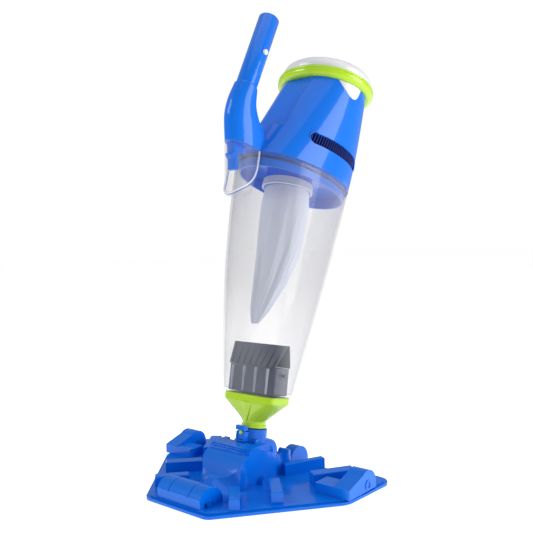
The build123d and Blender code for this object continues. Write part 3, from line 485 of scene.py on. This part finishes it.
def vent_trim(side):
    """The rolled lip round the vent and the dark slanted fins inside it."""
    lip = [TOP(side * (wall_x(y) + 0.1), y, s) for y, s in slot_outline(0.5)]
    word = "right" if side > 0 else "left"
    tube_line("vent_lip_" + word, lip, 0.8, BLUE, "vac_body", closed=True)
    verts, faces = [], []
    low, high, lean = VENT_S - 7.2, VENT_S + 7.2, 2.2
    for i in range(26):
        y = -66 + i * 3.6
        x0, x1 = wall_x(y) - 6.6, wall_x(y) - 1.4
        base = len(verts)
        for yy, ss in ((y - 0.5 - lean, low), (y + 0.5 - lean, low), (y + 0.5 + lean, high),
                       (y - 0.5 + lean, high)):
            verts.append(TOP(side * x0, yy, ss))
            verts.append(TOP(side * x1, yy, ss))
        q = [base + v for v in range(8)]
        faces += [(q[0], q[1], q[3], q[2]), (q[2], q[3], q[5], q[4]), (q[4], q[5], q[7], q[6]),
                  (q[6], q[7], q[1], q[0]), (q[1], q[7], q[5], q[3]), (q[0], q[2], q[4], q[6])]
    finish_mesh("vent_fins_" + word, verts, faces, NAVY, "vac_body", ("vent_grille_" + word,))


housing()
for side, word in ((1, "right"), (-1, "left")):
    vent_trim(side)
    liner = [TOP(side * (wall_x(y) - 6.9), y, s) for y, s in slot_outline(0.0)]
    finish_mesh("vent_back_" + word, liner, [tuple(range(len(liner)))], NAVY, "vac_body")



def port_cover():
    """The soft white flap of the charging port: a crowned half leaf that hangs under the ring."""
    centre, half, top, drop = -15.0, 17.0, -9.0, 16.5
    rows, columns = 9, 32
    verts = []
    for lift in (0.0, 1.0):
        for i in range(rows + 1):
            v = i / rows
            for j in range(columns + 1):
                u = 2 * j / columns - 1
                y = centre + half * u
                depth = drop * (1 - abs(u) ** 2.4) * (1 + 0.25 * u) + 0.3
                s = top - depth * v
                a, b, c, p = housing_at(s)
                x = a * (1 - (abs(y - c) / b) ** p) ** (1 / p)
                crown = 0.25 + 1.2 * (1 - u ** 4) * (1 - v ** 4)
                verts.append(TOP(x - 0.6 + lift * (0.6 + crown), y, s))
    step, layer = columns + 1, (rows + 1) * (columns + 1)
    faces = []
    for i in range(rows):
        for j in range(columns):
            q = i * step + j
            faces.append((q, q + 1, q + step + 1, q + step))
            faces.append((layer + q, layer + q + step, layer + q + step + 1, layer + q + 1))
    rim = ([j for j in range(columns)] + [i * step + columns for i in range(rows)]
           + [rows * step + j for j in range(columns, 0, -1)] + [i * step for i in range(rows, 0, -1)])
    for k in range(len(rim)):
        q, r = rim[k], rim[(k + 1) % len(rim)]
        faces.append((q, layer + q, layer + r, r))
    return finish_mesh("port_cover", verts, faces, WHITE, "vac_body", ("port_plug",))


port_cover()

# skirt below the seam, seen through the chamber
skirt_rings = []
for s, shrink in ((-129.8, WALL + 1.6), (-144.0, WALL + 1.6), (-144.0, WALL + 3.6), (-129.8, WALL + 3.6)):
    t = (SEAM - s) / 76
    skirt_rings.append(oval(TOP, s, 54 - 3.4 * t - shrink, 85 - 16 * t - shrink, -33 + 7.5 * t, 2.1, 144))
v, f = rings_to_faces(skirt_rings, loop=True)
finish_mesh("skirt", v, f, BLUE, "vac_body")


def boss_at(x, y, s):
    """The ring's frame, moved to the middle of the bag's boss."""
    return TOP(x, y + BOSS_C, s)


boss = revolve(boss_at, [(28, SEAM), (28, -150), (25.6, -150), (25.6, SEAM)], 96)
v, f = rings_to_faces(boss, loop=True)
finish_mesh("bag_boss", v, f, BLUE, "vac_body")

# ------------------------------------------------------------------ ring, cap
ring_profile = ([(48.2, -7.8), (52.9, -8.4)] + arc(54.0, -2.2, 6.5, -80, 26, 12)
                + arc(58.6, 1.4, 1.9, -20, 88, 8) + [(56.4, 5.6), (50.0, 5.6), (48.2, 4.6)])
v, f = rings_to_faces(revolve(TOP, ring_profile, 192), loop=True)
finish_mesh("lime_ring", v, f, LIME, "vac_body", ("bumper_ring",))
switch_hole = [(30.0, 20.9), (16.0, 21.3), (14.0, 21.0), (13.6, 20.2), (13.6, 16.5), (16.0, 16.5),
               (42.0, 16.0)]
cap_profile = ([(54.0, 5.5), (56.3, 5.5)] + arc(44.0, 8.0, 12.4, 0, 80, 14) + switch_hole
               + arc(44.0, 8.0, 9.8, 60, 0, 8))
v, f = rings_to_faces(revolve(TOP, cap_profile, 192), loop=True)
finish_mesh("cap_dome", v, f, WHITE, "vac_body", ("top_cap",))


# ------------------------------------------------------------------ handle and pole
def handle():
    """The elbow, one smooth form from the housing's front to the pole socket."""
    table = [[i / 4, tilt, y, z, a, b, p] for i, (tilt, y, z, a, b, p) in enumerate(HANDLE)]
    rings = []
    for i in range(49):
        u = i / 48
        k = min(int(u * 4), 3)
        t = u * 4 - k
        rows = [table[max(k - 1, 0)], table[k], table[k + 1], table[min(k + 2, 4)]]
        vals = []
        for c in range(1, 7):
            p0, p1, p2, p3 = [r[c] for r in rows]
            vals.append(0.5 * (2 * p1 + (p2 - p0) * t + (2 * p0 - 5 * p1 + 4 * p2 - p3) * t * t
                               + (3 * p1 - p0 - 3 * p2 + p3) * t ** 3))
        tilt, y, z, a, b, p = vals
        rings.append(oval(place(y, z, tilt), 0, a, b, 0, p, 128))
    end = HANDLE[-1]
    at = place(end[1], end[2], end[0])
    rings.append(oval(at, 0.9, 13.0, 13.0, 0, 2.0, 128))
    rings.append(oval(at, 1.0, TUBE_R + 0.05, TUBE_R + 0.05, 0, 2.0, 128))
    rings.append(oval(at, -6.0, TUBE_R + 0.05, TUBE_R + 0.05, 0, 2.0, 128))
    verts, faces = rings_to_faces(rings)
    return finish_mesh("handle_elbow", verts, faces, BLUE, "vac_body", ("handle",))


handle()
pole = [(TUBE_R, -5), (TUBE_R, TUBE_LENGTH - 0.6), (TUBE_R - 0.5, TUBE_LENGTH), (TUBE_R - 1.3, TUBE_LENGTH),
        (TUBE_R - 1.8, TUBE_LENGTH - 0.6), (TUBE_R - 1.8, -5)]
v, f = rings_to_faces(revolve(TUBE, pole, 96), loop=True)
finish_mesh("pole_tube", v, f, BLUE, "vac_body", ("pole_stub",))


# ------------------------------------------------------------------ funnel
def funnel():
    """The lime nozzle from the round neck to the wide flat mouth."""
    rows = [(1.0, 13.4, 13.4, 2.0), (1.2, 14.4, 14.4, 2.0), (4.0, 14.4, 14.4, 2.0), (4.6, 13.6, 13.6, 2.0),
            (8.0, 13.7, 13.6, 2.0)]
    for i in range(1, 16):
        t = i / 16
        rows.append((8 + 21.5 * t, 13.7 + 22.3 * t ** 0.95, 13.6 + 4.6 * t, 2.0 + 4.5 * t ** 2))
    rows += [(29.5, 36.0, 18.4, 6.5), (30.2, 36.6, 18.9, 6.5), (36.6, 36.6, 18.9, 6.5),
             (37.4, 36.1, 18.4, 6.5)]
    rings = [oval(LOW, s, a, b, 0, p, 128) for s, a, b, p in rows]
    inner = [oval(LOW, s, a - 2.4, b - 2.4, 0, p, 128) for s, a, b, p in reversed(rows)]
    verts, faces = rings_to_faces(rings + inner, loop=True)
    obj = finish_mesh("funnel_body", verts, faces, LIME, "vac_body", ("funnel",), smooth=28)
    wedge = [LOW(0, -14.6, 7), LOW(-9, -18.3, 29.5), LOW(9, -18.3, 29.5), LOW(0, -19.6, 29.5),
             LOW(0, -14.0, 8)]
    sides = [(0, 3, 1), (0, 2, 3), (1, 3, 2)]
    finish_mesh("funnel_facet", wedge, sides, LIME, "vac_body", smooth=5)
    return obj


funnel()


# ------------------------------------------------------------------ valve ribs
VALVE_HALF, VALVE_FRONT, VALVE_TOP = 34.5, -15.3, FUNNEL_TOP + 31.0
RIB_LEVELS = ((FUNNEL_TOP + 3.0, 1.3, 1.6), (VALVE_TOP - 4.0, 1.9, 2.4), (VALVE_TOP, 2.4, 1.2))
for i in range(4):
    x = -VALVE_HALF + 9.0 + i * 17.0
    verts = []
    for s_at, half, out in RIB_LEVELS:
        verts += [LOW(x - half, VALVE_FRONT, s_at), LOW(x - half * 0.5, VALVE_FRONT - out, s_at),
                  LOW(x + half * 0.5, VALVE_FRONT - out, s_at), LOW(x + half, VALVE_FRONT, s_at)]
    quads = [(0, 3, 2, 1), (8, 9, 10, 11)]
    for row in (0, 4):
        quads += [(row + k, row + (k + 1) % 4, row + 4 + (k + 1) % 4, row + 4 + k) for k in range(4)]
    finish_mesh("valve_rib_%d" % (i + 1), verts, quads, SMOKE_PALE, "vac_body", bevel=0.3)


# ------------------------------------------------------------------ filter bag
BAG = ((-146.0, -41.0, 29.2), (-168.0, -40.0, 31.5), (-190.0, -39.5, 31.0), (-224.0, -40.0, 28.0),
       (-262.0, -45.0, 21.0), (-296.0, -53.0, 12.0), (-313.0, -58.0, 4.5))


def bag():
    """The mesh bag hung from the boss: soft folds that gather towards its tip."""
    rings = []
    count, rows = 220, 120
    phase = [random.uniform(0, 2 * math.pi) for _ in range(8)]
    s_all = [b[0] for b in BAG][::-1]
    for i in range(rows + 1):
        u = i / rows
        s = BAG[0][0] + (BAG[-1][0] - BAG[0][0]) * u
        c = float(np.interp(s, s_all, [b[1] for b in BAG][::-1]))
        r = float(np.interp(s, s_all, [b[2] for b in BAG][::-1]))
        depth = 0.02 + 0.20 * u ** 1.4
        ring = []
        for j in range(count):
            t = 2 * math.pi * j / count
            fold = 0.55 * math.sin(7 * t + phase[0] + 1.8 * u)
            fold += 0.3 * math.sin(12 * t + phase[1] - 2.4 * u)
            fold += 0.25 * math.sin(3 * t + phase[2] + 5 * u)
            fold += 0.12 * math.sin(23 * t + phase[3] + 9 * u)
            rr = r * (0.93 + depth * fold * 0.6)
            slack = 0.5 * math.sin(14 * u + 2 * t + phase[4])
            ring.append(TOP(rr * math.cos(t), c + 0.9 * rr * math.sin(t), s + slack))
        rings.append(ring)
    verts, faces = rings_to_faces(rings, ends=False)
    faces.append(tuple(range(rows * count, (rows + 1) * count)))
    obj = finish_mesh("bag_cloth", verts, faces, MESH, "vac_body", ("filter_bag",), smooth=180)
    hem = arc(29.2, -149, 1.4, 90, -180, 8) + [(28.3, -141), (28.8, -140.2), (29.7, -140.6), (30.3, -147)]
    cuff = revolve(boss_at, hem, 96)
    v, f = rings_to_faces(cuff, loop=True)
    finish_mesh("bag_hem", v, f, MESH, "vac_body", ("bag_cuff",))
    return obj


bag()

# ------------------------------------------------------------------ stage and light
floor = bpy.data.meshes.new("floor")
floor.from_pydata([(-6, -6, 0), (6, -6, 0), (6, 9, 0), (-6, 9, 0)], [], [(0, 1, 2, 3)])
floor_obj = bpy.data.objects.new("floor", floor)
bpy.context.scene.collection.objects.link(floor_obj)
floor_look = material("floor", (0.97, 0.97, 0.97), rough=0.8, spread=0.0)
floor_look.node_tree.nodes["Principled BSDF"].inputs["Emission Color"].default_value = (1, 1, 1, 1)
floor_look.node_tree.nodes["Principled BSDF"].inputs["Emission Strength"].default_value = 0.62
floor_obj.data.materials.append(floor_look)

def area_light(name, spot, target, size, power, tall=None):
    """A soft box aimed at a place."""
    data = bpy.data.lights.new(name, "AREA")
    data.energy, data.size = power, size
    if tall:
        data.shape, data.size_y = "RECTANGLE", tall
    obj = bpy.data.objects.new(name, data)
    obj.location = spot
    obj.rotation_mode = "QUATERNION"
    obj.rotation_quaternion = (Vector(target) - Vector(spot)).to_track_quat("-Z", "Y")
    bpy.context.scene.collection.objects.link(obj)
    return obj


middle = (0, 0.05, 0.26)
FILL = 0.38
area_light("key", (-0.9, -1.3, 1.5), middle, 0.9, 13)
area_light("side", (1.35, 0.7, 0.6), middle, 0.8, 17, 1.5)
area_light("top", (0.1, 0.2, 1.9), middle, 1.4, 5)
sky = bpy.data.worlds.new("studio")
sky.use_nodes = True
sky.node_tree.nodes["Background"].inputs["Color"].default_value = (1, 1, 1, 1)
sky.node_tree.nodes["Background"].inputs["Strength"].default_value = FILL
open_sky = sky.node_tree.nodes.new("ShaderNodeBackground")
open_sky.inputs["Color"].default_value = (1, 1, 1, 1)
seen = sky.node_tree.nodes.new("ShaderNodeLightPath")
either = sky.node_tree.nodes.new("ShaderNodeMixShader")
sky_links = sky.node_tree.links
sky_links.new(seen.outputs["Is Camera Ray"], either.inputs[0])
sky_links.new(sky.node_tree.nodes["Background"].outputs[0], either.inputs[1])
sky_links.new(open_sky.outputs[0], either.inputs[2])
sky_links.new(either.outputs[0], sky.node_tree.nodes["World Output"].inputs[0])
bpy.context.scene.world = sky
bpy.context.scene.view_settings.view_transform = "Standard"
